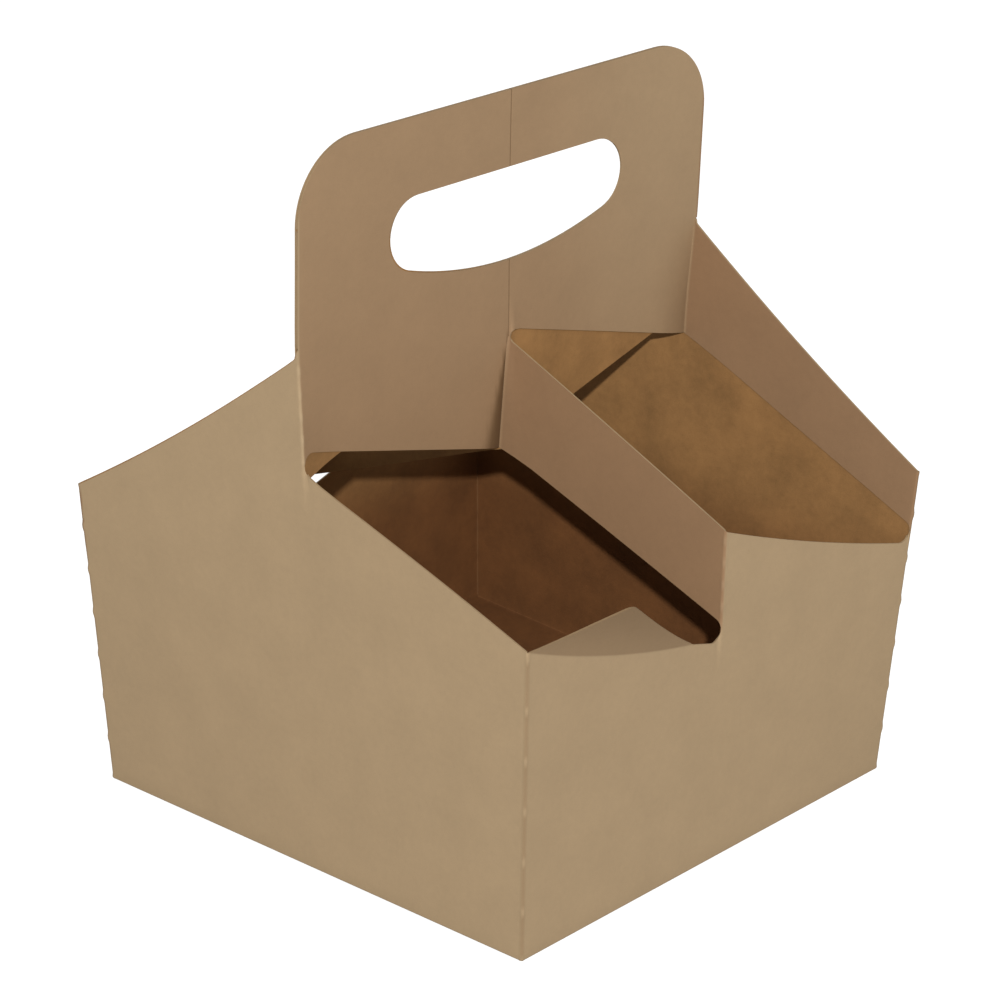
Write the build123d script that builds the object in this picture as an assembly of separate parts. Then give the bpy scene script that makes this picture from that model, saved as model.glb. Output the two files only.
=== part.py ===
from build123d import *
import math
import os

# Driving sizes of the carrier, in millimetres
side = 186.0                  # width of the square base over its outer faces
board = 0.6                   # thickness of the kraft board
fold_radius = 0.9             # outer radius of a folded edge
height = 242.0                # top of the handle above the surface it stands on
shoulder_height = 175.5       # where the handle rises out of the two end walls
high_corner_height = 114.5    # left and right corners, where the sloping edges end
low_corner_height = 100.6     # front and back corners
slope_sag = 2.2               # dip of the sloping top edges below a straight line
shoulder_radius = 8.0         # blend of a sloping edge into the handle's upright edge

# Handle and its hand hole
handle_corner_radius = 25.0
grip_width = 107.0
grip_top = 216.5
grip_bottom = 185.2
grip_end_radius = 12.5

# Lower cut, which frees the cup strap from the end wall and from the front wall
lower_cut_end = 141.2         # height of its round end at the left edge of the handle
lower_cut_front = 81.9        # height of its round end at the middle of the front wall
ply_centre_bottom = 119.2     # lower edge of the handle sheet at the centre of the carrier
cut_end_radius = 3.3

# Upper cut, which frees the cup strap from the handle, and its two ends
upper_cut_centre = 158.8      # height of its round end at the centre of the carrier
upper_cut_corner = 92.4       # height of its round end at the right corner
ply_side_bottom = 134.7       # lower edge of the handle sheet at its right edge
strap_front_top = 114.5       # top of the cup strap where it joins the front wall
centre_end_radius = 2.0
front_sag = 1.3               # dip of the front wall's edge below a straight line

# Flap folded inward along the low half of the front wall
flap_clearance = 0.4
flap_tip_along = 47.0         # from the corner to the tip, along the fold
flap_length = 82.0            # from the corner to the flap's far end, along the fold
flap_depth = 14.6             # from the fold to the tip, before it is rounded
flap_tip_radius = 2.5
flap_lean = 12.0              # degrees inward from upright

# Floor made of glued bottom panels
floor_lock_width = 24.0       # overlap of the two long panels
floor_lock_gap = 0.4          # seam seen from below
floor_flap_depth = 56.0       # reach of the two short panels

half = side / 2
lining = 2 * board            # two sheets lying face to face


def tangent_point(start, centre, radius, turn):
    """Where a straight line from start touches a circle, which turn puts on its left (1) or right (-1)."""
    run, rise = centre[0] - start[0], centre[1] - start[1]
    distance = math.hypot(run, rise)
    angle = math.atan2(rise, run) - turn * math.asin(radius / distance)
    length = math.sqrt(distance ** 2 - radius ** 2)
    return start[0] + length * math.cos(angle), start[1] + length * math.sin(angle)


def round_end(centre, radius, start, finish):
    """Short way round a cut's round end, from one point of the circle to another."""
    middle = ((start[0] + finish[0]) / 2 - centre[0], (start[1] + finish[1]) / 2 - centre[1])
    scale = radius / math.hypot(*middle)
    over = (centre[0] + middle[0] * scale, centre[1] + middle[1] * scale)
    return ThreePointArc(start, over, finish)


def sagging(start, finish, sag):
    """Shallow arc that dips below the straight line between its ends."""
    return ThreePointArc(start, ((start[0] + finish[0]) / 2, (start[1] + finish[1]) / 2 - sag), finish)


def outline_face(*pieces):
    """Flat face inside the closed loop of the given lines and arcs."""
    return make_face(Curve() + list(pieces))


def sheet_across_x(face, start, thickness):
    """Board standing in the YZ plane, from x = start to x = start + thickness."""
    return extrude(Plane.YZ.offset(start) * face, thickness)


def sheet_across_y(face, start, thickness):
    """Board standing in the XZ plane, from y = start to y = start + thickness."""
    return extrude(Plane.XZ.offset(-start - thickness) * face, thickness)


def half_turn(solid):
    """The same form on the other side of the carrier, half a turn about its axis."""
    return solid.rotate(Axis.Z, 180)


# Sloping edge: from a high corner up to the handle, on the end wall and on its lining alike
def sloping_edge(side_sign):
    slope = math.atan2(shoulder_height - high_corner_height, half)
    blend = shoulder_radius * math.tan((math.pi / 2 - slope) / 2)
    high_corner = (side_sign * half, high_corner_height)
    blend_foot = (side_sign * blend * math.cos(slope), shoulder_height - blend * math.sin(slope))
    blend_top = (0, shoulder_height + blend)
    blend_centre = (side_sign * shoulder_radius, blend_top[1])
    rise = sagging(high_corner, blend_foot, slope_sag)
    return high_corner, blend_top, [rise, round_end(blend_centre, shoulder_radius, blend_foot, blend_top)]


# Left end wall: its back half rises to the handle and its front half lies under the lower cut
def end_wall_outline():
    cut_centre = (-board - cut_end_radius, lower_cut_end)
    corner = (-half, low_corner_height)
    touch = tangent_point(corner, cut_centre, cut_end_radius, 1)
    cut_end = (-board, lower_cut_end)
    high_corner, top, slope = sloping_edge(1)
    return outline_face(
        Polyline(corner, (-half, 0), (half, 0), high_corner),
        *slope,
        Polyline(top, (-board, top[1]), cut_end),
        round_end(cut_centre, cut_end_radius, cut_end, touch),
        Line(touch, corner),
    )


# Front wall: its left half lies under the lower cut and its right half under the upper cut
def front_wall_outline():
    left_centre = (-cut_end_radius, lower_cut_front)
    corner = (-half, low_corner_height)
    left_touch = tangent_point(corner, left_centre, cut_end_radius, 1)
    right_end = (half - lining, upper_cut_corner)
    right_centre = (right_end[0] - cut_end_radius, upper_cut_corner)
    strap_top = (0, strap_front_top)
    right_touch = tangent_point(strap_top, right_centre, cut_end_radius, 1)
    return outline_face(
        Line(corner, left_touch),
        round_end(left_centre, cut_end_radius, left_touch, (0, lower_cut_front)),
        Line((0, lower_cut_front), strap_top),
        sagging(strap_top, right_touch, front_sag),
        round_end(right_centre, cut_end_radius, right_touch, right_end),
        Polyline(right_end, (half, upper_cut_corner), (half, 0), (-half, 0), corner),
    )


# Handle sheet: it spans the carrier, and its lower edge is stepped at the centre
def handle_outline():
    left_end = (-half + board, lower_cut_end)
    left_centre = (left_end[0] + cut_end_radius, lower_cut_end)
    fold_bottom = (-board, ply_centre_bottom)
    left_touch = tangent_point(fold_bottom, left_centre, cut_end_radius, 1)
    middle_end = (board, upper_cut_centre)
    middle_centre = (board + centre_end_radius, upper_cut_centre)
    right_bottom = (half, ply_side_bottom)
    right_touch = tangent_point(right_bottom, middle_centre, centre_end_radius, 1)
    shoulder = height - handle_corner_radius
    inset = half - handle_corner_radius
    return outline_face(
        Polyline((-half, shoulder), (-half, lower_cut_end), left_end),
        round_end(left_centre, cut_end_radius, left_end, left_touch),
        Polyline(left_touch, fold_bottom, (board, ply_centre_bottom), middle_end),
        round_end(middle_centre, centre_end_radius, middle_end, right_touch),
        Polyline(right_touch, right_bottom, (half, shoulder)),
        CenterArc((inset, shoulder), handle_corner_radius, 0, 90),
        Line((inset, height), (-inset, height)),
        CenterArc((-inset, shoulder), handle_corner_radius, 90, 90),
    )


# Hand hole: flat along the top, round at the ends and bellied below
def grip_outline():
    reach = grip_width / 2 - grip_end_radius
    end_height = grip_top - grip_end_radius
    drop = end_height - grip_bottom
    belly = (reach ** 2 + drop ** 2 - grip_end_radius ** 2) / (2 * (drop - grip_end_radius))
    lean = math.atan2(reach, grip_bottom + belly - end_height)
    foot = grip_end_radius * math.sin(lean)
    sole = end_height - grip_end_radius * math.cos(lean)
    right_foot, left_foot = (reach + foot, sole), (-reach - foot, sole)
    sweep = 180 - math.degrees(lean)
    return outline_face(
        Line((reach, grip_top), (-reach, grip_top)),
        CenterArc((-reach, end_height), grip_end_radius, 90, sweep),
        ThreePointArc(left_foot, (0, grip_bottom), right_foot),
        CenterArc((reach, end_height), grip_end_radius, math.degrees(lean) - 90, sweep),
    )


# Cup strap: the divider between two cups, from the handle to the front wall
def cup_strap_outline():
    front_end = (-half + board, lower_cut_front)
    front_centre = (front_end[0] + cut_end_radius, lower_cut_front)
    centre_bottom = (0, ply_centre_bottom)
    front_touch = tangent_point(centre_bottom, front_centre, cut_end_radius, 1)
    upper_end = (-board, upper_cut_centre)
    upper_centre = (-board - centre_end_radius, upper_cut_centre)
    front_top = (-half, strap_front_top)
    upper_touch = tangent_point(front_top, upper_centre, centre_end_radius, 1)
    return outline_face(
        Line(centre_bottom, front_touch),
        round_end(front_centre, cut_end_radius, front_touch, front_end),
        Polyline(front_end, (-half, lower_cut_front), front_top, upper_touch),
        round_end(upper_centre, centre_end_radius, upper_touch, upper_end),
        Polyline(upper_end, (0, upper_cut_centre), centre_bottom),
    )


# Lining strap: the strip of the handle sheet that lines the right end wall and turns back at the corner
def lining_strap_outline():
    corner_end = (-half + board, upper_cut_corner)
    corner_centre = (corner_end[0] + cut_end_radius, upper_cut_corner)
    handle_bottom = (0, ply_side_bottom)
    touch = tangent_point(handle_bottom, corner_centre, cut_end_radius, 1)
    high_corner, top, slope = sloping_edge(-1)
    return outline_face(
        Line(handle_bottom, touch),
        round_end(corner_centre, cut_end_radius, touch, corner_end),
        Polyline(corner_end, (-half, upper_cut_corner), high_corner),
        *slope,
        Line(top, handle_bottom),
    )


# Flap: a blunt triangle hinged on the low half of the front wall
def front_flap():
    corner = (-half, low_corner_height)
    cut_centre = (-cut_end_radius, lower_cut_front)
    touch = tangent_point(corner, cut_centre, cut_end_radius, 1)
    fall = math.degrees(math.atan2(corner[1] - touch[1], touch[0] - corner[0]))
    start = board + flap_clearance
    triangle = make_face(Polyline((start, 0), (flap_tip_along, flap_depth), (flap_length, 0), close=True))
    triangle = fillet(triangle.vertices().sort_by(Axis.Y)[-1], flap_tip_radius)
    hinge = Location((-half, -half, low_corner_height)) * Rotation(0, fall, 0) * Rotation(90 - flap_lean, 0, 0)
    return hinge * extrude(triangle, -board)


# Upright square column as tall as the carrier, with folded corners
def folded_column(width, radius):
    return extrude(RectangleRounded(width, width, radius), height)


# Tray: four walls and a floor with every edge folded round, still without its outlines
def tray():
    outer = folded_column(side, fold_radius)
    outer = fillet(outer.faces().sort_by(Axis.Z)[0].edges(), fold_radius)
    return outer - Pos(0, 0, board) * folded_column(side - 2 * board, fold_radius - board)


# Floor: short panels folded over two long ones, which lock along the middle
def floor_panels():
    inside = half - board
    near = floor_flap_depth - inside
    short = Polyline((-inside, -inside), (inside, -inside), (-near, near), (near, near), close=True)
    upper = make_face(short) + make_face(short).rotate(Axis.Z, 180) + Rectangle(floor_lock_width, 2 * inside)
    return Pos(0, 0, board) * extrude(upper, board)


# Seam: the line where the two long panels meet, stepped at the centre by their lock
def floor_seam():
    reach = half - fold_radius
    run = Pos(floor_lock_width / 2, -reach / 2) * Rectangle(floor_lock_gap, reach)
    step = Rectangle(floor_lock_width + floor_lock_gap, floor_lock_gap)
    return extrude(run + run.rotate(Axis.Z, 180) + step, board)


# Walls: the tray trimmed to the outlines, each wall keeping the folded corner beside it
end_zone = sheet_across_x(end_wall_outline(), -half, lining)
front_zone = sheet_across_y(front_wall_outline(), -half, board)
floor_zone = extrude(Rectangle(side, side), fold_radius)
kept = end_zone + front_zone + half_turn(end_zone) + half_turn(front_zone) + floor_zone
walls = tray() & kept

# Upper half of the folded sheet, made once and turned for the other side
handle_sheet = sheet_across_y(handle_outline() - grip_outline(), -board, board)
cup_strap = sheet_across_x(cup_strap_outline(), 0, board)
lining_strap = sheet_across_x(lining_strap_outline(), half - lining, board) & folded_column(side, fold_radius)
upper_half = handle_sheet + cup_strap + lining_strap + front_flap()

carrier = walls + upper_half + half_turn(upper_half) + floor_panels() - floor_seam()

os.makedirs("parts", exist_ok=True)
export_step(carrier, "parts/cup_carrier.step")
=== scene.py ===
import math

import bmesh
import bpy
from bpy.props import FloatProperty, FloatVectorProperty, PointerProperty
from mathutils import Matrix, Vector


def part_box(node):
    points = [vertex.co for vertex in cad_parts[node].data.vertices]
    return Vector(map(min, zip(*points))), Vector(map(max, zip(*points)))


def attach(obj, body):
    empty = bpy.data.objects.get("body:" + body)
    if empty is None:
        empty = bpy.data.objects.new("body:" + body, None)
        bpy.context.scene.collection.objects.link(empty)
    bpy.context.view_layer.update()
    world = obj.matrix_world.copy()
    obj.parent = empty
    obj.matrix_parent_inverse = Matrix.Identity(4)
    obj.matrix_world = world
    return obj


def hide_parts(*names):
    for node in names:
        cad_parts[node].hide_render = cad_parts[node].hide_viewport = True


bl_info = {
    "name": "Cup carrier box",
    "version": (1, 0, 0),
    "blender": (4, 5, 0),
    "location": "3D View > Sidebar > Cup carrier",
    "description": "Folded kraft board carrier for four cups, built around its packed model",
    "category": "Add Mesh",
}

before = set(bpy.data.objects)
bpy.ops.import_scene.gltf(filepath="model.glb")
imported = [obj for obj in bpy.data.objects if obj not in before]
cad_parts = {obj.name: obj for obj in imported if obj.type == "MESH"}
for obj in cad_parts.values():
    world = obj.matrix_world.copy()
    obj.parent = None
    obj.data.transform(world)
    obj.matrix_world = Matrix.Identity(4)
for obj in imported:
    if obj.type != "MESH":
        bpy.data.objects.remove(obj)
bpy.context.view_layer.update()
NODE = "cup_carrier"
BODY = "root"
LOWEST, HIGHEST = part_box(NODE)

# Distances at which points count as one, and at which sheets are joined
SAME_POINT, SHEET_JOIN = 1e-7, 2e-6
# Run beside a cut's end in which the board changes its course, and strain beside a bridge
RUN_OUT, STRAIN = 0.006, 0.0012
# Mesh lines across the flap's fold, and across the floor
FLAP_LINES = (-0.0005, 0, 0.0005, 0.002, 0.004, 0.007, 0.010, 0.012)
FLOOR_GRID = 0.015
# Thickness, in boards, past which a corner is a spike, and what it is cut back to
SPIKE, TRIMMED = 1.6, 1.2
SHARP_FOLD = math.radians(35)
# Bow of the back wall against the front one, and where the handle starts to lean in
BACK_BOW, TAPER_START, TAPER_RUN = 1.5, 0.15, 0.09
# Stage: the backdrop's radius and glow, the soft light, and each lamp's place, size and power
BACKDROP_RADIUS, BACKDROP_GLOW, SOFT_LIGHT = 6, 0.88, 0.40
LAMPS = {
    "key_lamp": ((-2.335, -2.03, 1.69), 0.06, 104),
    "side_lamp": ((0.33, -1.56, 1.03), 0.3, 3),
}
LAMP_TARGET = Vector((0, 0, 0.1))
CAMERA_PLACE = (-0.7981, -0.6989, 0.5719)
CAMERA_TURN, CAMERA_TILT, CAMERA_ROLL = math.radians(48.75), math.radians(23.86), math.radians(1.07)


def length(name, description, default):
    """Size in metres"""
    return FloatProperty(name=name, description=description, default=default, unit="LENGTH", precision=5)


def angle(name, description, degrees):
    """Angle, given in degrees"""
    return FloatProperty(name=name, description=description, default=math.radians(degrees), subtype="ANGLE")


def colour(name, description, default):
    """Linear colour"""
    return FloatVectorProperty(
        name=name, description=description, default=default, size=3, subtype="COLOR", min=0, max=1,
    )


class CarrierSizes(bpy.types.PropertyGroup):
    """Cut sizes of the board"""
    side: length("Side", "Width of the square base over its outer faces", HIGHEST.x - LOWEST.x)
    height: length("Height", "Top of the handle above the base", HIGHEST.z - LOWEST.z)
    board: length("Board", "Thickness of the kraft board", 0.0006)
    fold_radius: length("Fold radius", "Outer radius of a folded edge", 0.0009)
    shoulder_height: length("Shoulder", "Where the handle rises out of the end walls", 0.1755)
    high_corner: length("High corners", "Height of the left and right corners", 0.1145)
    low_corner: length("Low corners", "Height of the front and back corners", 0.1006)
    slope_sag: length("Slope sag", "Dip of the sloping edges below a straight line", 0.0022)
    shoulder_radius: length("Shoulder radius", "Blend of a sloping edge into the handle's edge", 0.003)
    handle_corner: length("Handle corner", "Radius of the handle's upper corners", 0.025)
    grip_width: length("Hand hole width", "Width of the hand hole", 0.107)
    grip_top: length("Hand hole top", "Height of the hand hole's flat top edge", 0.2165)
    grip_bottom: length("Hand hole bottom", "Height of the hand hole's bellied lower edge", 0.1852)
    grip_end: length("Hand hole ends", "Radius of the hand hole's round ends", 0.0125)
    cut_end: length("Cut ends", "Radius of the round ends of the long cuts", 0.0035)
    centre_end: length("Centre cut end", "Radius of the upper cut's round end at the centre", 0.002)
    lower_cut_end: length("Lower cut, end wall", "Height of the lower cut's end at the handle's edge", 0.1405)
    lower_cut_front: length("Lower cut, front wall", "Height of the lower cut's other round end", 0.0813)
    ply_centre: length("Handle sheet, centre", "Lower edge of the handle sheet at the centre", 0.1192)
    ply_side: length("Handle sheet, side", "Lower edge of the handle sheet at its right edge", 0.1347)
    upper_cut_centre: length("Upper cut, centre", "Height of the upper cut's round end at the centre", 0.1588)
    upper_cut_corner: length("Upper cut, corner", "Height of the upper cut's round end at the corner", 0.0924)
    strap_front: length("Strap top", "Top of the cup strap where it joins the front wall", 0.1145)
    front_sag: length("Front sag", "Dip of the front wall's edge below a straight line", 0.0013)
    flap_tip: length("Flap tip", "From the corner to the flap's tip, along the fold", 0.0368)
    flap_length: length("Flap length", "From the corner to the flap's far end, along the fold", 0.082)
    flap_depth: length("Flap depth", "From the fold to the tip, before it is rounded", 0.0172)
    flap_tip_cut: length("Flap tip rounding", "How far back from its point the tip is rounded", 0.0026)
    floor_lock: length("Floor lock", "Overlap of the two long floor panels", 0.024)
    floor_seam: length("Floor seam", "Gap between the long floor panels", 0.0004)
    floor_flap: length("Floor flap", "Reach of the two short floor panels", 0.056)


class CarrierShape(bpy.types.PropertyGroup):
    """How the folded board stands and bends"""
    grid: length("Grid", "Spacing of the mesh lines across a flat panel", 0.006)
    end_twist: angle("Twist along the handle", "Turn of the front and back walls at cup height", -1.43)
    side_twist: angle("Twist across the handle", "Turn of the end walls at cup height", 3.35)
    twist_height: length("Twist height", "Height at which the twists are given", 0.1116)
    saddle: length("Saddle", "Rise of the front and back corners, and fall of the others", 0.0060)
    base_share: FloatProperty(
        name="Base share", description="Part of the saddle that the base takes",
        default=0.4, min=0, max=1, subtype="FACTOR",
    )
    corner_flare: length("Corner flare", "How far the left and right corners spread at cup height", 0.0019)
    front_shift: length("Front corner shift", "Lean of the front corner to the left, at cup height", 0.0014)
    flap_lean: angle("Flap lean", "Outward lean of the flap at its fold", 20)
    flap_curl: angle("Flap curl", "Further lean at the flap's tip", 16)
    flap_dip: length("Flap fold dip", "Dip of the flap's fold below a straight line", 0.0024)
    centre_pull: length("Centre pull", "Backward bend of the handle sheet at its centre fold's foot", 0.0019)
    end_pull: length("End pull", "How far the handle sheet bends back at its two ends", 0.0018)
    ply_bow: length("Handle bow", "How far the handle stands forward above the cup strap", 0.0007)
    wall_bow: length("Wall bow", "How far the middles of the front and back walls bend in", 0.0036)
    crease_reach: length("Crease reach", "Width of the bend beside the centre fold, at its foot", 0.010)
    end_reach: length("End reach", "Width of the bend beside the handle sheet's two ends", 0.018)
    handle_taper: length("Handle taper", "How far the handle's left edge leans in at its top", 0.0020)
    ply_gap: length("Ply gap", "Air between the two glued handle sheets at their edges", 0.0001)
    nick_pitch: length("Nick pitch", "Spacing of the uncut bridges along a corner", 0.0164)
    nick_length: length("Nick length", "Length of an uncut bridge", 0.0022)
    nick_rise: length("Nick rise", "How far a bridge stands out of the corner", 0.00027)
    crease_pitch: length("Crease pitch", "Spacing of the bridges along a handle crease", 0.0075)
    crease_nick: length("Crease nick", "Length of a bridge along a handle crease", 0.0022)
    corner_bridge: length("Corner bridge", "Height of one uncut bridge of the corners", 0.0986)
    crease_bridge: length("Crease bridge", "Height of one bridge of the handle creases", 0.1416)


class Carrier(bpy.types.PropertyGroup):
    """All settings of the cup carrier"""
    sizes: PointerProperty(type=CarrierSizes)
    shape: PointerProperty(type=CarrierShape)
    outer: colour("Outer side", "Colour of the smooth outer side", (0.378, 0.267, 0.153))
    # Painted shade: the straps and linings, and most of the handle, are mixed towards this darker colour for
    # the shade they stand in between the walls
    strap: colour("Straps", "Colour of the outer side on the straps and linings", (0.272, 0.160, 0.083))
    inner: colour("Inner side", "Colour of the rough inner side", (0.275, 0.142, 0.050))
    # Painted shade: the inner side is mixed towards this darker colour low down in the box, where it lies in
    # shade
    inner_low_shade: colour("Inner side, low", "Colour of the inner side near the floor", (0.14, 0.056, 0.017))
    strained: colour("Strained board", "Colour of the outer side on its uncut bridges", (0.48, 0.36, 0.22))
    # Painted shade: slits, the bends beside the handle's creases and the flap are darkened towards this
    # colour where they lie in shadow
    shaded: colour("Bent board", "Colour of the outer side in slits and bends", (0.12, 0.065, 0.026))
    edge: colour("Cut edge", "Colour of the cut edges", (0.30, 0.205, 0.112))
    floor: colour("Floor", "Colour of the floor and backdrop", (0.3, 0.3, 0.3))
    lens: FloatProperty(name="Lens", description="Focal length of the camera", default=126, unit="CAMERA")


# Flat outlines

class Pen:
    """Draws a flat outline in a bmesh, one edge after another"""

    def __init__(self, bm, start):
        self.bm = bm
        self.tip = bm.verts.new((*start, 0))

    def line(self, *points):
        """Straight edges to each point in turn"""
        for point in points:
            grown = bmesh.ops.extrude_vert_indiv(self.bm, verts=[self.tip])["verts"]
            self.tip = grown[0]
            self.tip.co = (*point, 0)

    def arc(self, centre, degrees, steps):
        """Part of a circle round a centre"""
        spun = bmesh.ops.spin(self.bm, geom=[self.tip], cent=(*centre, 0), axis=(0, 0, 1),
                              angle=math.radians(degrees), steps=steps, use_merge=False)
        self.tip = [part for part in spun["geom_last"] if isinstance(part, bmesh.types.BMVert)][0]

    def round_to(self, centre, finish, steps=10):
        """Short way round a centre to another point of the same circle"""
        start = Vector(self.tip.co[:2]) - Vector(centre)
        turn = start.angle_signed(Vector(finish) - Vector(centre))
        self.arc(centre, -math.degrees(turn), steps)

    def sag_to(self, finish, sag, steps=24):
        """Shallow arc that dips below the straight line to its finish"""
        start, finish = Vector(self.tip.co[:2]), Vector(finish)
        chord = finish - start
        dip = sag * abs(chord.normalized().x)
        radius = (chord.length ** 2 / 4 + dip ** 2) / (2 * dip)
        up = Vector((-chord.y, chord.x)).normalized()
        up = up if up.y > 0 else -up
        self.round_to((start + finish) / 2 + up * (radius - dip), finish, steps)


def touch(start, centre, radius, turn):
    """Where a straight line from start touches a circle, which turn puts on its left (1) or right (-1)"""
    run, rise = centre[0] - start[0], centre[1] - start[1]
    distance = math.hypot(run, rise)
    heading = math.atan2(rise, run) - turn * math.asin(radius / distance)
    reach = math.sqrt(distance ** 2 - radius ** 2)
    return start[0] + reach * math.cos(heading), start[1] + reach * math.sin(heading)


def places(z):
    """Distances along the blank of its fold lines, from the left corner's fold"""
    half = z.side / 2
    return {
        "left": 0.0,
        "rise": half + z.board,
        "front": 2 * half,
        "centre": 2 * half + z.board,
        "strap": 3 * half,
        "bend": 3 * half - z.board,
        "right": 4 * half,
    }


def shoulder_blend(z):
    """Slope of the end wall's edge, reach of its blend into the handle, and the blend's top"""
    slope = math.atan2(z.shoulder_height - z.high_corner, z.side / 2)
    blend = z.shoulder_radius * math.tan((math.pi / 2 - slope) / 2)
    return slope, blend, z.shoulder_height + blend


def flap_fold(z):
    """Corner, direction and upward normal of the flap's fold on the flat blank"""
    at = places(z)
    corner = Vector((at["front"], z.low_corner))
    cut_centre = (at["strap"] - z.cut_end, z.lower_cut_front)
    fall = (Vector(touch(corner, cut_centre, z.cut_end, 1)) - corner).normalized()
    return corner, fall, Vector((-fall.y, fall.x))


def wall_outline(bm, z):
    """Left end wall and front wall from the left corner to the right one; returns the flap's tip"""
    at = places(z)
    start, finish = z.fold_radius, at["right"] + z.fold_radius
    slope, blend, top_of_blend = shoulder_blend(z)
    crease = at["rise"] - z.fold_radius
    foot = (crease - blend * math.cos(slope), z.shoulder_height - blend * math.sin(slope))
    pen = Pen(bm, (start, z.fold_radius))
    pen.line((start, z.high_corner))
    pen.sag_to(foot, z.slope_sag)
    pen.round_to((crease - z.shoulder_radius, top_of_blend), (crease, top_of_blend), 12)
    pen.line((crease, z.lower_cut_end))
    cut_start = at["rise"] + z.board
    cut_centre = (cut_start + z.cut_end, z.lower_cut_end)
    pen.line((cut_start, z.lower_cut_end))
    corner, fall, out = flap_fold(z)
    pen.round_to(cut_centre, touch(corner, cut_centre, z.cut_end, -1))
    pen.line(corner)
    front_centre = (at["strap"] - z.cut_end, z.lower_cut_front)
    pen.line(corner + fall * 0.0004, corner + fall * z.flap_tip + out * z.flap_depth)
    flap = pen.tip
    pen.line(corner + fall * z.flap_length, touch(corner, front_centre, z.cut_end, 1))
    pen.round_to(front_centre, (at["strap"], z.lower_cut_front))
    pen.line((at["strap"] + z.fold_radius, z.lower_cut_front), (at["strap"] + z.fold_radius, z.strap_front))
    right_end = (at["right"] - 2 * z.board, z.upper_cut_corner)
    right_centre = (right_end[0] - z.cut_end, right_end[1])
    pen.sag_to(touch(pen.tip.co, right_centre, z.cut_end, 1), z.front_sag)
    pen.round_to(right_centre, right_end)
    pen.line((finish, z.upper_cut_corner), (finish, z.fold_radius))
    pen.line((start, z.fold_radius))
    return flap


def handle_outline(bm, z):
    """Handle sheet and the lining strip beyond it, from the end wall's crease to the right corner"""
    at = places(z)
    crease = at["rise"] - z.fold_radius
    slope, blend, top_of_blend = shoulder_blend(z)
    cut_start = at["rise"] + z.board
    cut_centre = (cut_start + z.cut_end, z.lower_cut_end)
    fold = at["centre"] - z.fold_radius / 3
    pen = Pen(bm, (crease, z.lower_cut_end))
    pen.line((cut_start, z.lower_cut_end))
    pen.round_to(cut_centre, touch((fold, z.ply_centre), cut_centre, z.cut_end, 1))
    pen.line((fold, z.ply_centre), (fold, z.upper_cut_centre))
    upper_start = at["centre"] + z.board
    upper_centre = (upper_start + z.centre_end, z.upper_cut_centre)
    side = (at["bend"], z.ply_side)
    pen.line((upper_start, z.upper_cut_centre))
    pen.round_to(upper_centre, touch(side, upper_centre, z.centre_end, 1))
    pen.line(side)
    right_end = (at["right"] - 2 * z.board, z.upper_cut_corner)
    right_centre = (right_end[0] - z.cut_end, right_end[1])
    finish = at["right"] + z.fold_radius
    pen.line(touch(side, right_centre, z.cut_end, -1))
    pen.round_to(right_centre, right_end)
    pen.line((finish, z.upper_cut_corner), (finish, z.high_corner))
    lining_edge = at["bend"] + z.fold_radius / 3
    foot = (lining_edge + blend * math.cos(slope), z.shoulder_height - blend * math.sin(slope))
    pen.line((at["right"] - 2 * z.board, z.high_corner))
    pen.sag_to(foot, z.slope_sag)
    pen.round_to((lining_edge + z.shoulder_radius, top_of_blend), (lining_edge, top_of_blend), 12)
    shoulder = z.height - z.handle_corner
    left, right = at["rise"], at["rise"] + z.side
    pen.line((right, top_of_blend), (right, shoulder))
    pen.arc((right - z.handle_corner, shoulder), 90, 18)
    pen.line((left + z.handle_corner, z.height))
    pen.arc((left + z.handle_corner, shoulder), 90, 18)
    pen.line((left, top_of_blend + 2 * z.fold_radius), (crease, top_of_blend), (crease, z.lower_cut_end))


def grip_outline(bm, z):
    """Hand hole: flat along the top, round at the ends and bellied below"""
    middle = places(z)["centre"] - z.board
    reach = z.grip_width / 2 - z.grip_end
    level = z.grip_top - z.grip_end
    drop = level - z.grip_bottom
    belly = (reach ** 2 + drop ** 2 - z.grip_end ** 2) / (2 * (drop - z.grip_end))
    lean = math.atan2(reach, z.grip_bottom + belly - level)
    sweep = 180 - math.degrees(lean)
    pen = Pen(bm, (middle + reach, z.grip_top))
    pen.line((middle - reach, z.grip_top))
    pen.arc((middle - reach, level), sweep, 20)
    pen.arc((middle, z.grip_bottom + belly), 2 * math.degrees(lean), 24)
    pen.arc((middle + reach, level), sweep, 20)


def strap_outline(bm, z):
    """Cup strap between the two cuts, from the handle sheet to the front wall"""
    at = places(z)
    fold = at["centre"] - z.fold_radius / 3
    upper_start = at["centre"] + z.board
    upper_centre = (upper_start + z.centre_end, z.upper_cut_centre)
    front_fold = at["strap"] + z.fold_radius
    cut_centre = (at["strap"] - z.cut_end, z.lower_cut_front)
    pen = Pen(bm, (fold, z.ply_centre))
    pen.line(touch((fold, z.ply_centre), cut_centre, z.cut_end, -1))
    pen.round_to(cut_centre, (at["strap"], z.lower_cut_front))
    pen.line((front_fold, z.lower_cut_front), (front_fold, z.strap_front))
    pen.line(touch((front_fold, z.strap_front), upper_centre, z.centre_end, -1))
    pen.round_to(upper_centre, (upper_start, z.upper_cut_centre))
    pen.line((fold, z.upper_cut_centre), (fold, z.ply_centre))


# Folding

def walk(corners, start, heading, along):
    """Point and outward normal at a distance along a plan line, measured from corner to corner"""
    point, heading, passed = Vector(start), Vector(heading), 0.0
    for corner, turn, radius in corners:
        entry = corner - radius
        if along <= entry:
            break
        side = Vector((-heading.y, heading.x)) * turn
        pivot = point + heading * (entry - passed) + side * radius
        share = min((along - entry) / (2 * radius), 1)
        turned = Matrix.Rotation(turn * share * math.pi / 2, 2)
        point = pivot - turned @ (side * radius)
        heading = turned @ heading
        passed = along if share < 1 else corner + radius
        if share < 1:
            break
    point = point + heading * (along - passed)
    return point, Vector((heading.y, -heading.x))


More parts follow.
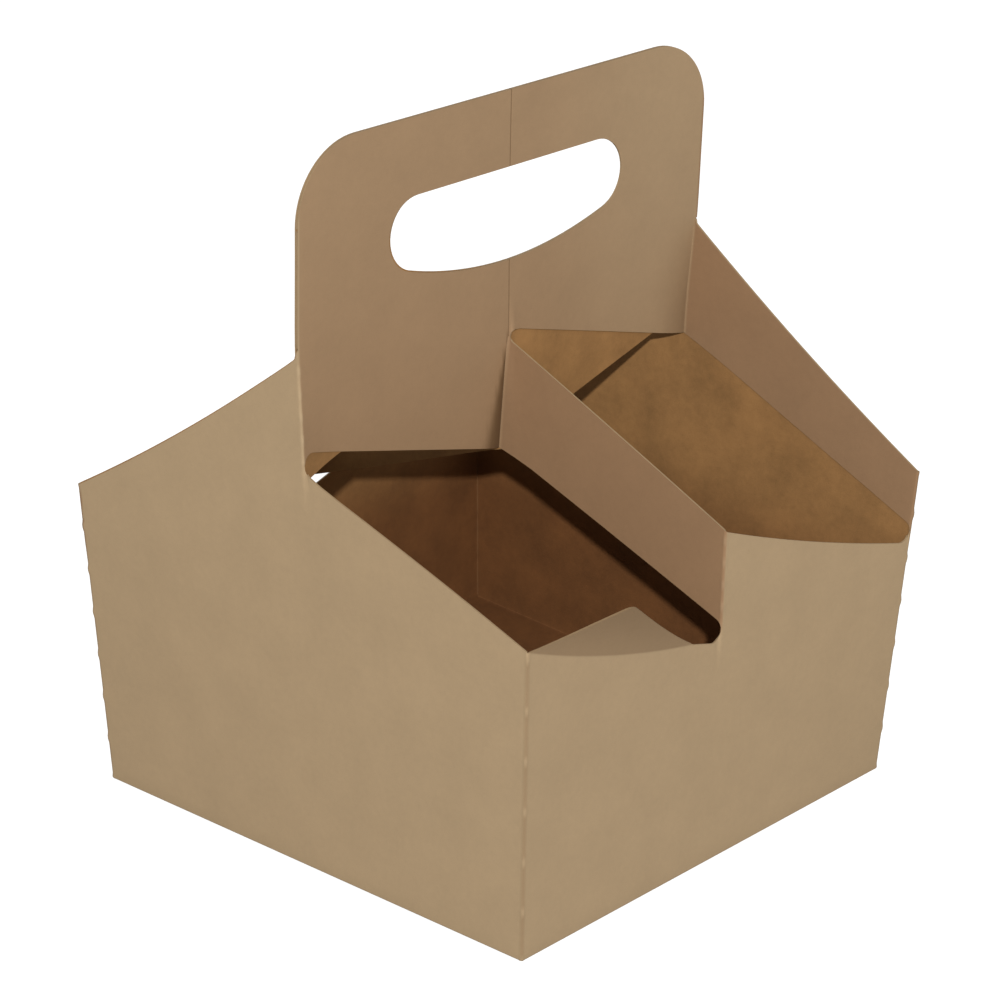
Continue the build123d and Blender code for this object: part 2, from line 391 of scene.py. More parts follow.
def routes(z):
    """Corners of the plan line of each sheet: distance, turn and radius"""
    at = places(z)
    rise = (at["rise"], 1, z.fold_radius)
    right = (at["right"], 1, z.fold_radius)
    centre = (at["centre"], -1, z.fold_radius / 3)
    bend = (at["bend"], -1, z.fold_radius / 3)
    turn_back = [(at["right"] - 2 * z.board, 1, z.board), (at["right"], 1, z.board)]
    return {
        "walls": [(at["front"], 1, z.fold_radius), right],
        "strap": [rise, centre, (at["strap"], 1, z.fold_radius), right],
        "handle": [rise, bend, *turn_back],
        "flat": [rise],
        "sharp": [(at["rise"], 1, 1e-6), (at["bend"], -1, 1e-6), *turn_back],
    }


def ease(value):
    """Smooth step from 0 to 1"""
    value = min(max(value, 0), 1)
    return value * value * (3 - 2 * value)


def bridge(rise, first, pitch, size):
    """1 on an uncut bridge of a perforated fold, falling to 0 beside it"""
    off = abs((rise - first + pitch / 2) % pitch - pitch / 2)
    return 1 - ease(off / (size / 2 + STRAIN))


class Folder:
    """Places the flat sheets of the board in the folded carrier"""

    def __init__(self, z, shape):
        self.z, self.shape = z, shape
        self.at, self.routes = places(z), routes(z)
        self.start = (-z.side / 2, z.side / 2)

    def on(self, route, along):
        """Plan point and outward normal on a route"""
        return walk(self.routes[route], self.start, (0, -1), along)

    def mixed(self, first, second, along, share):
        """Plan point and outward normal between two routes"""
        a, b = self.on(first, along), self.on(second, along)
        return a[0].lerp(b[0], share), a[1].lerp(b[1], share)

    def plan(self, sheet, along, up):
        """Plan point and outward normal of a flat point"""
        z, at, near = self.z, self.at, RUN_OUT
        top = shoulder_blend(z)[2]
        if sheet == "walls":
            if at["rise"] - z.fold_radius < along < at["rise"] + 2 * z.cut_end:
                beside = 1 - ease((along - at["rise"] - z.board) / z.cut_end)
                above = ease((up - z.lower_cut_end + near) / near)
                return self.mixed("walls", "handle", along, above * beside)
            if -z.cut_end < along - at["strap"] < 2 * z.fold_radius and up < z.lower_cut_front + 1e-6:
                beside = 1 - ease((at["strap"] - along) / z.cut_end)
                above = ease((up - z.lower_cut_front + near) / near)
                return self.mixed("walls", "strap", along, above * beside)
            if along > at["right"] - 3 * z.board:
                return self.mixed("walls", "handle", along, ease((up - z.upper_cut_corner + near) / near))
            return self.on("walls", along)
        if sheet == "strap":
            return self.on("strap", along)
        if along < at["rise"] + z.cut_end:
            return self.mixed("handle", "sharp", along, ease((up - top + near) / near))
        if abs(along - at["centre"]) < 2 * z.cut_end and up > z.upper_cut_centre - 1e-6:
            beside = ease((along - at["centre"] - z.board) / (2 * z.centre_end))
            below = 1 - ease((up - z.upper_cut_centre) / near)
            return self.mixed("flat", "strap", along, below * (1 - beside))
        if along > at["bend"] - z.cut_end and up > top - 1e-6:
            return self.on("flat", along)
        if along > at["bend"] - z.cut_end:
            return self.mixed("handle", "sharp", along, ease((up - top + near) / near))
        return self.on("handle", along)

    def nick(self, sheet, along, up):
        """How much of a flat point lies on a bridge, and how much painted shade it takes in the slit between
        two bridges and beside the creases
        """
        best, slit = 0.0, 0.0
        for fold, low, high, first, pitch, size in perforations(sheet, self.z, self.shape):
            inside = ease((up - low) / 0.001) * ease((high - up) / 0.001)
            close = inside * (1 - ease(abs(along - self.at[fold]) / 0.0016))
            on_bridge = bridge(up, first, pitch, size)
            best = max(best, close * on_bridge)
            # painted shadow in the open cuts between a corner's bridges
            if pitch == self.shape.nick_pitch:
                slit = max(slit, close * 0.5 * (1 - 0.6 * on_bridge))
        return best, max(slit, self.crease_shade(sheet, along, up))

    def opening(self, up):
        """How far the centre fold stands open: 0 from the upper cut upwards, 1 at its foot"""
        z = self.z
        return max((z.upper_cut_centre - up) / (z.upper_cut_centre - z.ply_centre), 0)

    def crease_shade(self, sheet, along, up):
        """Painted shadow on the handle sheet beside the centre fold and beside the lining, where the sheet
        bends back
        """
        z, shape, at = self.z, self.shape, self.at
        if sheet != "handle" or along > at["bend"]:
            return 0.0
        width = 1.3 * shape.crease_reach * self.opening(up) + 1e-4
        centre = ease(1.8 * (1 - (at["centre"] - along) / width)) if along < at["centre"] else 0
        below = ease((z.shoulder_height + 0.01 - up) / 0.05)
        end = ease(1 - (at["bend"] - along) / shape.end_reach)
        return max(centre, 0.35 * end * below)

    def pull(self, sheet, along, up):
        """How far the handle sheet moves aside and back beside the centre fold and its two ends"""
        z, at, reach = self.z, self.at, self.shape.crease_reach
        if sheet == "walls" and along > at["front"]:
            return 0.0, 0.0
        open_share = self.opening(up)
        beside = max(1 - abs(along - at["centre"]) / (reach * open_share + 1e-4), 0)
        centre = 0 if sheet == "walls" else open_share * beside ** 2
        ends = ease((z.grip_bottom - up) / 0.045) * ease((up - 0.05) / 0.06)
        bend = max(1 - abs(along - at["bend"]) / self.shape.end_reach, 0) ** 2 if sheet == "handle" else 0
        rise = max(1 - abs(along - at["rise"]) / self.shape.end_reach, 0) ** 2
        back = self.shape.centre_pull * centre + self.shape.end_pull * ends * (bend - rise)
        aside = 0 if centre == 0 else -1.1 * z.board * min(open_share / 0.05, 1) * beside
        return aside, back

    def tone(self, sheet, along, up):
        """Share of painted shade towards the strap colour: none on the walls, most on the handle, whole on
        the straps
        """
        at = self.at
        if sheet == "walls":
            return 0.0
        if sheet == "strap":
            past_centre, past_strap = along - at["centre"], along - at["strap"]
            return 0.8 + 0.2 * ease(past_centre / 0.001) - ease(past_strap / 0.001)
        # painted shade: the handle is lighter towards its top and towards its right end
        level = ease((up - 0.13) / 0.11)
        share = (along - at["rise"]) / self.z.side
        handle = 0.8 - 0.2 * level - 0.35 * ease((share - 0.5) / 0.4)
        lining = ease((along - at["bend"]) / 0.001)
        return handle * ease((along - at["rise"]) / 0.001) * (1 - lining) + lining

    def place(self, sheet, along, up):
        """Folded place of a flat point, its share of bridge, and its share of painted shade in slits and
        creases
        """
        point, outward = self.plan(sheet, along, up)
        nick, slit = self.nick(sheet, along, up)
        point = point + outward * (nick * self.shape.nick_rise - slit * self.shape.nick_rise * 0.4)
        if sheet != "walls":
            gap = ease((along - self.at["rise"]) / 0.002) * ease((point.y + 0.004) / 0.003)
            point.y -= self.shape.ply_gap / 2 * gap
        point += Vector(self.pull(sheet, along, up))
        return Vector((point.x, point.y, up)), nick, slit


def grid_lines(z, shape, low, high):
    """Distances along the blank at which a sheet is divided: closer together at the folds"""
    folds = places(z).values()
    steps = [0, z.fold_radius / 3, 2 * z.fold_radius / 3, z.fold_radius, 0.0016, 0.003]
    lines = {round(fold + sign * step, 7) for fold in folds for step in steps for sign in (-1, 1)}
    right, centre = places(z)["right"], places(z)["centre"]
    lines |= {round(right - z.board * step, 7) for step in (3, 2.5, 2, 1.5, 1, 0.5, -0.5, -1)}
    lines |= {round(centre - shape.crease_reach * step, 7) for step in (0.45, 0.6, 0.8, 1, 1.15, 1.3)}
    count = int(high / shape.grid) + 1
    for index in range(count):
        place = index * shape.grid
        if min(abs(place - fold) for fold in folds) > 0.004:
            lines.add(round(place, 7))
    return [line for line in sorted(lines) if low + 1e-6 < line < high - 1e-6]


def level_lines(shape, high):
    """Heights at which a sheet is divided"""
    return [index * shape.grid for index in range(1, int(high / shape.grid) + 1)]


def perforations(sheet, z, shape):
    """Perforated folds of a sheet: fold, lowest and highest point, one bridge's height, pitch and length"""
    corner = (shape.corner_bridge, shape.nick_pitch, shape.nick_length)
    crease = (shape.crease_bridge, shape.crease_pitch, shape.crease_nick)
    rise = ("rise", z.lower_cut_end, z.shoulder_height, *crease)
    strap = ("strap", z.lower_cut_front, z.strap_front, *crease)
    left = ("left", 0, z.high_corner, *corner)
    front = ("front", 0, z.low_corner, *corner)
    right = ("right", 0, z.high_corner, *corner)
    return {"walls": [left, rise, front, strap, right], "handle": [rise, right], "strap": [strap]}[sheet]


def nick_lines(sheet, z, shape):
    """Folds of a sheet, each with the heights at which it is divided for its bridges"""
    lines = []
    for fold, low, high, first, pitch, size in perforations(sheet, z, shape):
        count = int(z.height / pitch) + 1
        for index in range(-count, count):
            middle = first + index * pitch
            for step in (-size / 2 - STRAIN, -size / 4, size / 4, size / 2 + STRAIN):
                if low + 0.0005 < middle + step < high - 0.0005:
                    lines.append((fold, middle + step))
    return lines


def divide(bm, point, normal, faces=None):
    """Cuts mesh lines where a plane crosses the given faces, or all of them"""
    faces = bm.faces if faces is None else faces
    parts = {part for face in faces for part in (face, *face.edges, *face.verts)}
    bmesh.ops.bisect_plane(bm, geom=list(parts), dist=SAME_POINT, plane_co=point, plane_no=normal)


def fill(bm):
    """Closes the drawn outline and gives it one face"""
    bmesh.ops.remove_doubles(bm, verts=bm.verts, dist=SAME_POINT)
    bmesh.ops.contextual_create(bm, geom=bm.edges)


def fill_round_hole(bm):
    """Closes the drawn outline and its hole, and fills the board between them"""
    bmesh.ops.remove_doubles(bm, verts=bm.verts, dist=SAME_POINT)
    bmesh.ops.triangle_fill(bm, edges=bm.edges, use_beauty=True, normal=(0, 0, 1))
    inner = [edge for edge in bm.edges if not edge.is_boundary]
    bmesh.ops.dissolve_limit(bm, angle_limit=0.01, verts=[], edges=inner)


def flat_sheet(name, z, shape):
    """One flat sheet of the blank, divided for folding"""
    bm = bmesh.new()
    at = places(z)
    if name == "walls":
        flap = wall_outline(bm, z)
        fill(bm)
        bmesh.ops.bevel(bm, geom=[flap], offset=z.flap_tip_cut, segments=5, profile=0.5,
                        affect="VERTICES", material=-1)
    elif name == "strap":
        strap_outline(bm, z)
        fill(bm)
    else:
        handle_outline(bm, z)
        grip_outline(bm, z)
        fill_round_hole(bm)
    bmesh.ops.reverse_faces(bm, faces=[face for face in bm.faces if face.normal.z < 0])
    for line in grid_lines(z, shape, 0, at["right"] + z.fold_radius):
        divide(bm, (line, 0, 0), (1, 0, 0))
    for line in level_lines(shape, z.height):
        divide(bm, (0, line, 0), (0, 1, 0))
    for fold, line in nick_lines(name, z, shape):
        band = [face for face in bm.faces if abs(face.calc_center_median().x - at[fold]) < 0.003]
        divide(bm, (0, line, 0), (0, 1, 0), band)
    if name == "walls":
        hinge, _, out = flap_fold(z)
        first, last = at["front"], at["strap"] - 0.004
        for step in FLAP_LINES:
            near = [face for face in bm.faces if first < face.calc_center_median().x < last]
            divide(bm, (*(hinge + out * step), 0), (*out, 0), near)
    bmesh.ops.delete(bm, geom=[edge for edge in bm.edges if edge.is_wire], context="EDGES")
    return bm


def fold_sheet(bm, name, z, shape):
    """Folds a flat sheet, and records its bridges and its painted shade: in slits and beside creases, the
    darker tone of the handle, straps and flap, and the depth that darkens the inner side low down
    """
    folder = Folder(z, shape)
    at = places(z)
    nick_layer = bm.verts.layers.float.new("nick")
    painted_shade_layer = bm.verts.layers.float.new("slit")
    painted_shade_tone_layer = bm.verts.layers.float.new("tone")
    low_shade_layer = bm.verts.layers.float.new("depth")
    hinge, fall, out = flap_fold(z)
    for vert in bm.verts:
        flat = vert.co.xy
        above = (flat - hinge).dot(out)
        share = (flat - hinge).dot(fall) / z.flap_length
        by_flap = name == "walls" and 0 < share < 1 and flat.x < at["strap"] - 0.004
        is_flap = by_flap and above > 1e-6
        foot = flat - out * above if is_flap else flat
        vert.co, vert[nick_layer], vert[painted_shade_layer] = folder.place(name, foot.x, foot.y)
        vert[painted_shade_tone_layer] = folder.tone(name, foot.x, foot.y)
        # painted shade: the inner side darker towards the bottom
        vert[low_shade_layer] = 1 - ease((foot.y - 0.045) / 0.05)
        if by_flap:
            # painted shade: the flap darker than the wall, most at its tip
            over_fold = ease(above / 0.0005)
            vert[painted_shade_tone_layer] = 0.25 * over_fold
            vert[painted_shade_layer] += (0.33 + 0.27 * above / z.flap_depth) * over_fold
            fade = 1 - above / z.flap_depth if is_flap else 1 - ease(-above / 0.03)
            vert.co.z -= shape.flap_dip * 4 * share * (1 - share) * max(fade, 0)
        if is_flap:
            lean = shape.flap_lean + shape.flap_curl * above / z.flap_depth / 2
            vert.co += Vector((out.x * above, -above * math.sin(lean), out.y * above * math.cos(lean)))


def folded_board(z, shape):
    """The whole folded board as one sheet, outer side out, with its long floor panels"""
    whole = bmesh.new()
    for name in ("walls", "handle", "strap"):
        sheet = flat_sheet(name, z, shape)
        fold_sheet(sheet, name, z, shape)
        part = bpy.data.meshes.new(name)
        sheet.to_mesh(part)
        sheet.free()
        whole.from_mesh(part)
        bpy.data.meshes.remove(part)
    bmesh.ops.remove_doubles(whole, verts=whole.verts, dist=SHEET_JOIN)
    geom = whole.verts[:] + whole.edges[:] + whole.faces[:]
    bmesh.ops.spin(whole, geom=geom, cent=(0, 0, 0), axis=(0, 0, 1), angle=math.pi,
                   steps=1, use_duplicate=True)
    bmesh.ops.remove_doubles(whole, verts=whole.verts, dist=SHEET_JOIN)
    add_floor(whole, z)
    return whole


def add_floor(bm, z):
    """Bottom fold all round, and the two long panels with their stepped seam"""
    half, radius = z.side / 2, z.fold_radius
    low = [edge for edge in bm.edges if all(vert.co.z < radius * 1.01 for vert in edge.verts)]
    ring = [edge for edge in low if edge.is_boundary]
    steps = 4
    low_shade_layer = bm.verts.layers.float["depth"]
    inset, level = 0.0, radius
    for index in range(1, steps + 1):
        bend = index / steps * math.pi / 2
        grown = bmesh.ops.extrude_edge_only(bm, edges=ring)["geom"]
        ring = [part for part in grown if isinstance(part, bmesh.types.BMEdge)]
        verts = [part for part in grown if isinstance(part, bmesh.types.BMVert)]
        next_inset, next_level = radius * (1 - math.cos(bend)), radius * (1 - math.sin(bend))
        ratio = (half - next_inset) / (half - inset)
        bmesh.ops.scale(bm, vec=(ratio, ratio, 1), verts=verts)
        bmesh.ops.translate(bm, vec=(0, 0, next_level - level), verts=verts)
        inset, level = next_inset, next_level
    bmesh.ops.contextual_create(bm, geom=ring)
    # painted shade: the bottom fold takes the full low inner colour
    for vert in bm.verts:
        if vert.co.z < radius:
            vert[low_shade_layer] = 1
    gap, lock = z.floor_seam / 2, z.floor_lock / 2
    cuts = [(side * lock + edge * gap, 0) for side in (-1, 1) for edge in (-1, 1)] + [(-gap, 1), (gap, 1)]
    cuts += [(index * FLOOR_GRID, axis) for index in range(-6, 7) for axis in (0, 1)]
    for line, axis in cuts:
        faces = [face for face in bm.faces if all(vert.co.z < 1e-6 for vert in face.verts)]
        point = (line, 0, 0) if axis == 0 else (0, line, 0)
        divide(bm, point, (1 - axis, axis, 0), faces)
    seam = []
    for face in bm.faces:
        if any(vert.co.z > 1e-6 for vert in face.verts):
            continue
        x, y, _ = face.calc_center_median()
        upright = abs(abs(x) - lock) < gap and (x * y < 0) and abs(y) < half - radius - 0.001
        if upright or (abs(y) < gap and abs(x) < lock + gap):
            seam.append(face)
    bmesh.ops.delete(bm, geom=seam, context="FACES")


def outside_out(bm):
    """Turns the faces of an open sheet so that the front wall's outer side faces outwards"""
    bmesh.ops.recalc_face_normals(bm, faces=bm.faces)
    front = min(bm.faces, key=lambda face: face.calc_center_median().y)
    if front.normal.y > 0:
        bmesh.ops.reverse_faces(bm, faces=bm.faces)


def settle(co, shape):
    """Twists and bows a point of the carrier as the folded board stands"""
    rise = co.z / shape.twist_height
    end, side = shape.end_twist * rise, shape.side_twist * rise
    half = (HIGHEST.x - LOWEST.x) / 2
    share = shape.base_share + (1 - shape.base_share) * min(rise, 1)
    x = co.x * math.cos(end) - co.y * math.sin(side)
    y = co.x * math.sin(end) + co.y * math.cos(side)
    lift = shape.saddle * (co.x * co.y / half ** 2 * share + shape.base_share)
    spread = max(-co.x * co.y / half ** 2, 0) ** 1.5 * min(rise, 1)
    shift = max(co.x * co.y / half ** 2, 0) ** 1.5 * min(rise, 1) if co.x < 0 else 0
    x += math.copysign(spread * shape.corner_flare, co.x) - shift * shape.front_shift
    y += math.copysign(spread * shape.corner_flare, co.y) + shift * shape.front_shift
    x += shape.handle_taper * max(-co.x / half, 0) * ease((co.z - TAPER_START) / TAPER_RUN)
    bow = shape.wall_bow if co.y < 0 else BACK_BOW * shape.wall_bow
    y -= bow * co.y / half * (1 - (co.x / half) ** 2) * min(rise, 1)
    near_cut = ease(1 - abs(co.x) / 0.05) * ease(1 - abs(co.z - 0.16) / 0.06) * ease(1 - abs(co.y) / 0.05)
    y -= shape.ply_bow * near_cut
    return Vector((x, y, co.z + lift))


# Materials

def new_group(name, inputs, outputs):
    """An empty node group with its sockets, and its input and output nodes"""
    group = bpy.data.node_groups.new(name, "ShaderNodeTree")
    for socket_name, kind, default in inputs:
        socket = group.interface.new_socket(socket_name, in_out="INPUT", socket_type=kind)
        if default is not None:
            socket.default_value = default
    for socket_name, kind in outputs:
        group.interface.new_socket(socket_name, in_out="OUTPUT", socket_type=kind)
    return group, group.nodes.new("NodeGroupInput"), group.nodes.new("NodeGroupOutput")


def node(tree, kind, inputs=(), **settings):
    """A node with its settings, and its inputs set to values or linked to sockets"""
    made = tree.nodes.new(kind)
    for name, value in settings.items():
        setattr(made, name, value)
    for key, value in dict(inputs).items():
        if isinstance(value, bpy.types.NodeSocket):
            tree.links.new(value, made.inputs[key])
        else:
            made.inputs[key].default_value = value
    return made


def math_node(tree, operation, first, second=0.0):
    """Result of one sum"""
    return node(tree, "ShaderNodeMath", {0: first, 1: second}, operation=operation).outputs[0]


def seen_directly(tree):
    """1 where the backdrop is seen, also in gloss or through glass, and 0 where it gives light"""
    rays = tree.nodes.new("ShaderNodeLightPath").outputs
    direct = math_node(tree, "MAXIMUM", rays["Is Camera Ray"], rays["Is Glossy Ray"])
    return math_node(tree, "MAXIMUM", direct, rays["Is Transmission Ray"])


def kraft_group():
    """Kraft board surface: cloudy formation, fine fibres and darker flecks"""
    group, given, out = new_group(
        "kraft_surface",
        [("Position", "NodeSocketVector", None), ("Colour", "NodeSocketColor", (0.4, 0.3, 0.17, 1))]
        + [(name, "NodeSocketFloat", 0.1) for name in ("Cloud", "Fibre", "Fleck")],
        [("Colour", "NodeSocketColor"), ("Roughness", "NodeSocketFloat"), ("Height", "NodeSocketFloat")],
    )
    place = given.outputs["Position"]

    def noise(scale, detail, roughness, distortion=0):
        """Noise of one size"""
        grain = {"Vector": place, "Scale": scale, "Detail": detail, "Roughness": roughness}
        return node(group, "ShaderNodeTexNoise", {**grain, "Distortion": distortion}).outputs["Fac"]

    def swing(value, amount):
        """A noise's swing about its middle, at the given strength"""
        return math_node(group, "MULTIPLY", math_node(group, "SUBTRACT", value, 0.5), amount)

    cloud, mottle, fibre = noise(55, 4, 0.55), noise(420, 3, 0.6), noise(2600, 2, 0.7, 1.2)
    fleck = node(group, "ShaderNodeTexVoronoi", {"Vector": place, "Scale": 900}, feature="F1")
    spots = node(group, "ShaderNodeMapRange", {
        "Value": fleck.outputs["Distance"], "From Min": 0.05, "From Max": 0.22, "To Min": 1, "To Max": 0,
    }).outputs["Result"]
    fine = given.outputs["Fibre"]
    tone = math_node(group, "ADD", swing(cloud, given.outputs["Cloud"]), swing(mottle, fine))
    tone = math_node(group, "ADD", tone, swing(fibre, fine))
    tone = math_node(group, "SUBTRACT", tone, math_node(group, "MULTIPLY", spots, given.outputs["Fleck"]))
    gain = math_node(group, "ADD", tone, 1.0)
    shade = node(group, "ShaderNodeVectorMath", {0: given.outputs["Colour"], "Scale": gain},
                 operation="SCALE").outputs[0]
    group.links.new(shade, out.inputs["Colour"])
    rough = math_node(group, "ADD", math_node(group, "MULTIPLY", mottle, 0.12), 0.72)
    group.links.new(rough, out.inputs["Roughness"])
    coarse, threads = math_node(group, "MULTIPLY", mottle, 0.6), math_node(group, "MULTIPLY", fibre, 0.5)
    group.links.new(math_node(group, "ADD", coarse, threads), out.inputs["Height"])
    return group


def kraft_material(name, group, given, tint, second, by, cloud, fibre, fleck, bump, worn):
    """One side of the board, lighter on a fold's strained bridges, with painted shade: mixed towards a second
    colour by an attribute, and darker in slits and bends
    """
    material = bpy.data.materials.new(name)
    material.use_nodes = True
    tree = material.node_tree
    shader = tree.nodes["Principled BSDF"]
    shader.inputs["Specular IOR Level"].default_value = 0.25
    place = node(tree, "ShaderNodeTexCoord").outputs["Object"]
    surface = node(tree, "ShaderNodeGroup", {}, node_tree=group)
    tree.links.new(place, surface.inputs["Position"])
    for key, value in (("Cloud", cloud), ("Fibre", fibre), ("Fleck", fleck)):
        surface.inputs[key].default_value = value
    # painted shade: the attribute mixes the side towards its second colour (straps and handle outside, the
    # low inner side inside)
    tone = node(tree, "ShaderNodeAttribute", attribute_name=by).outputs["Fac"]
    base = node(tree, "ShaderNodeMix", {0: tone, 6: (*tint, 1), 7: (*second, 1)}, data_type="RGBA")
    tree.links.new(base.outputs[2], surface.inputs["Colour"])
    nick = node(tree, "ShaderNodeAttribute", attribute_name="nick").outputs["Fac"]
    slit = node(tree, "ShaderNodeAttribute", attribute_name="slit").outputs["Fac"]
    light = node(tree, "ShaderNodeMix", {0: math_node(tree, "MULTIPLY", nick, worn)}, data_type="RGBA")
    light.inputs[7].default_value = (*given.strained, 1)
    tree.links.new(surface.outputs["Colour"], light.inputs[6])
    # painted shade: slits, bent creases and the flap darken towards the shaded colour
    dark = node(tree, "ShaderNodeMix", {0: math_node(tree, "MULTIPLY", slit, 0.85)}, data_type="RGBA")
    tree.links.new(light.outputs[2], dark.inputs[6])
    dark.inputs[7].default_value = (*given.shaded, 1)
    tree.links.new(dark.outputs[2], shader.inputs["Base Color"])
    tree.links.new(surface.outputs["Roughness"], shader.inputs["Roughness"])
    relief = {"Strength": bump, "Distance": 0.0002, "Height": surface.outputs["Height"]}
    bumped = node(tree, "ShaderNodeBump", relief)
    tree.links.new(bumped.outputs["Normal"], shader.inputs["Normal"])
    return material


def board_materials(given):
    """Outer side, inner side and cut edge, made once"""
    names = ("kraft_outer_side", "kraft_inner_side", "kraft_cut_edge")
    if names[0] not in bpy.data.materials:
        group = kraft_group()
        kraft_material(names[0], group, given, given.outer, given.strap, "tone",
                       cloud=0.16, fibre=0.12, fleck=0.05, bump=0.25, worn=0.2)
        kraft_material(names[1], group, given, given.inner, given.inner_low_shade, "depth",
                       cloud=0.8, fibre=0.3, fleck=0.12, bump=0.5, worn=0.0)
        kraft_material(names[2], group, given, given.edge, given.edge, "tone",
                       cloud=0.1, fibre=0.3, fleck=0.1, bump=0.6, worn=0.2)
    return [bpy.data.materials[name] for name in names]


# Objects

def board_object(name, bm, settings, rim=2):
    """Gives a sheet its thickness and its three finishes, and lets it settle"""
    mesh = bpy.data.meshes.new(name)
    bm.to_mesh(mesh)
    bm.free()
    piece = bpy.data.objects.new(name, mesh)
    bpy.context.scene.collection.objects.link(piece)
    for material in board_materials(settings):
        mesh.materials.append(material)
    solid = piece.modifiers.new("board", "SOLIDIFY")
    solid.thickness = settings.sizes.board
    solid.offset = -1
    solid.use_even_offset = True
    solid.thickness_clamp = 0
    solid.material_offset = 1
    solid.material_offset_rim = rim
    count = len(mesh.vertices)
    with bpy.context.temp_override(object=piece, active_object=piece):
        bpy.ops.object.modifier_apply(modifier=solid.name)
    if len(piece.data.vertices) != 2 * count:
        raise RuntimeError(f"{name}: the board's two sides don't pair up")
    for outer, inner in zip(piece.data.vertices[:count], piece.data.vertices[count:]):
        reach = inner.co - outer.co
        if reach.length > SPIKE * settings.sizes.board:
            inner.co = outer.co + reach * (TRIMMED * settings.sizes.board / reach.length)
    for vert in piece.data.vertices:
        vert.co = settle(vert.co, settings.shape)
    piece.data.shade_smooth()
    piece.data.set_sharp_from_angle(angle=SHARP_FOLD)
    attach(piece, BODY)
    return piece


class CARRIER_OT_board(bpy.types.Operator):
    """Fold the board: walls, handle, cup straps, linings, flaps and long floor panels"""
    bl_idname = "carrier.board"
    bl_label = "Fold the board"

    def execute(self, context):
        settings = context.scene.cup_carrier
        bm = folded_board(settings.sizes, settings.shape)
        outside_out(bm)
        piece = board_object("folded_board", bm, settings)
        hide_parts(NODE)
        return {"FINISHED"}


class CARRIER_OT_panels(bpy.types.Operator):
    """Lay the short floor panels and the lock over the long ones"""
    bl_idname = "carrier.panels"
    bl_label = "Lay the short floor panels"

    def execute(self, context):
        settings = context.scene.cup_carrier
        z = settings.sizes
        inside = z.side / 2 - z.board / 2
        near = inside - z.floor_flap
        lock = z.floor_lock / 2 + 2 * z.floor_seam
        outlines = {
            "short_panel_front": [(-inside, -inside), (inside, -inside), (near, -near), (-near, -near)],
            "short_panel_back": [(inside, inside), (-inside, inside), (-near, near), (near, near)],
            "floor_lock": [(-lock, -near), (lock, -near), (lock, near), (-lock, near)],
        }
        for name, outline in outlines.items():
            bm = bmesh.new()
            pen = Pen(bm, outline[0])
            pen.line(*outline[1:], outline[0])
            fill(bm)
            bmesh.ops.reverse_faces(bm, faces=[face for face in bm.faces if face.normal.z > 0])
            for index in range(-6, 7):
                divide(bm, (index * FLOOR_GRID, 0, 0), (1, 0, 0))
                divide(bm, (0, index * FLOOR_GRID, 0), (0, 1, 0))
            bmesh.ops.translate(bm, vec=(0, 0, z.board), verts=bm.verts)
            # painted shade: the short floor panels take the full low inner colour
            depth = bm.verts.layers.float.new("depth")
            for vert in bm.verts:
                vert[depth] = 1
            board_object(name, bm, settings, rim=1)
        return {"FINISHED"}


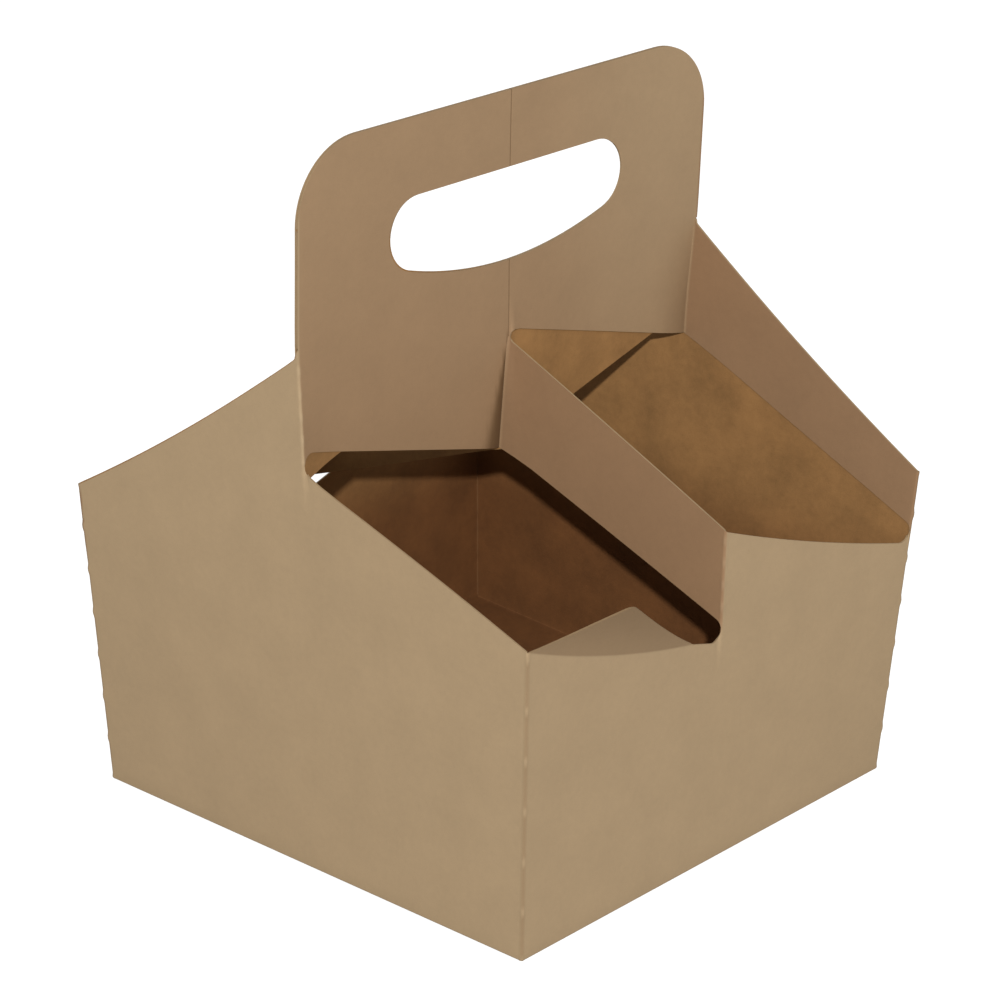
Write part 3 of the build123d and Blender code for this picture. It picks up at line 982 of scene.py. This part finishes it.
class CARRIER_OT_stage(bpy.types.Operator):
    """Set the floor, the soft lamps and the camera"""
    bl_idname = "carrier.stage"
    bl_label = "Set the stage"

    def execute(self, context):
        settings = context.scene.cup_carrier
        scene = context.scene
        scene.view_settings.view_transform = "Standard"
        bm = bmesh.new()
        bmesh.ops.create_circle(bm, cap_ends=True, segments=64, radius=BACKDROP_RADIUS)
        mesh = bpy.data.meshes.new("floor")
        bm.to_mesh(mesh)
        bm.free()
        floor = bpy.data.objects.new("floor", mesh)
        scene.collection.objects.link(floor)
        paper = bpy.data.materials.new("pale_floor")
        paper.use_nodes = True
        tree = paper.node_tree
        shader = tree.nodes["Principled BSDF"]
        shader.inputs["Base Color"].default_value = (*settings.floor, 1)
        shader.inputs["Roughness"].default_value = 0.9
        shader.inputs["Emission Color"].default_value = (1, 1, 1, 1)
        glow = math_node(tree, "MULTIPLY", seen_directly(tree), BACKDROP_GLOW)
        tree.links.new(glow, shader.inputs["Emission Strength"])
        mesh.materials.append(paper)

        world = bpy.data.worlds.new("studio")
        scene.world = world
        world.use_nodes = True
        background = world.node_tree.nodes["Background"]
        background.inputs["Color"].default_value = (1, 1, 1, 1)
        strength = math_node(world.node_tree, "MAXIMUM", seen_directly(world.node_tree), SOFT_LIGHT)
        world.node_tree.links.new(strength, background.inputs["Strength"])
        for name, (place, size, power) in LAMPS.items():
            lamp = bpy.data.lights.new(name, "AREA")
            lamp.shape = "DISK"
            lamp.size = size
            lamp.energy = power
            holder = bpy.data.objects.new(name, lamp)
            holder.location = place
            holder.rotation_euler = (LAMP_TARGET - Vector(place)).to_track_quat("-Z", "Y").to_euler()
            scene.collection.objects.link(holder)

        camera = bpy.data.cameras.new("photo_camera")
        camera.lens = settings.lens
        camera.sensor_width = 36
        holder = bpy.data.objects.new("photo_camera", camera)
        turn, tilt, roll = CAMERA_TURN, CAMERA_TILT, CAMERA_ROLL
        flat = Vector((math.sin(turn), math.cos(turn), 0)) * math.cos(tilt)
        forward = flat - Vector((0, 0, math.sin(tilt)))
        right = Vector((math.cos(turn), -math.sin(turn), 0))
        up = right.cross(forward)
        across = right * math.cos(roll) + up * math.sin(roll)
        above = up * math.cos(roll) - right * math.sin(roll)
        rotation = Matrix((across, above, -forward)).transposed()
        holder.matrix_world = Matrix.Translation(CAMERA_PLACE) @ rotation.to_4x4()
        scene.collection.objects.link(holder)
        scene.camera = holder
        return {"FINISHED"}


class CARRIER_PT_panel(bpy.types.Panel):
    """Steps of the cup carrier"""
    bl_idname = "CARRIER_PT_panel"
    bl_label = "Cup carrier"
    bl_space_type = "VIEW_3D"
    bl_region_type = "UI"
    bl_category = "Cup carrier"

    def draw(self, context):
        for step in (CARRIER_OT_board, CARRIER_OT_panels, CARRIER_OT_stage):
            self.layout.operator(step.bl_idname)


CLASSES = (
    CarrierSizes, CarrierShape, Carrier,
    CARRIER_OT_board, CARRIER_OT_panels, CARRIER_OT_stage, CARRIER_PT_panel,
)


def register():
    """Makes the settings and the steps known"""
    for cls in CLASSES:
        bpy.utils.register_class(cls)
    bpy.types.Scene.cup_carrier = PointerProperty(type=Carrier)


def unregister():
    """Takes them away again, in the other order"""
    del bpy.types.Scene.cup_carrier
    for cls in reversed(CLASSES):
        bpy.utils.unregister_class(cls)


def main():
    """Makes the pieces and the stage"""
    register()
    bpy.ops.carrier.board()
    bpy.ops.carrier.panels()
    bpy.ops.carrier.stage()


if __name__ == "__main__":
    main()
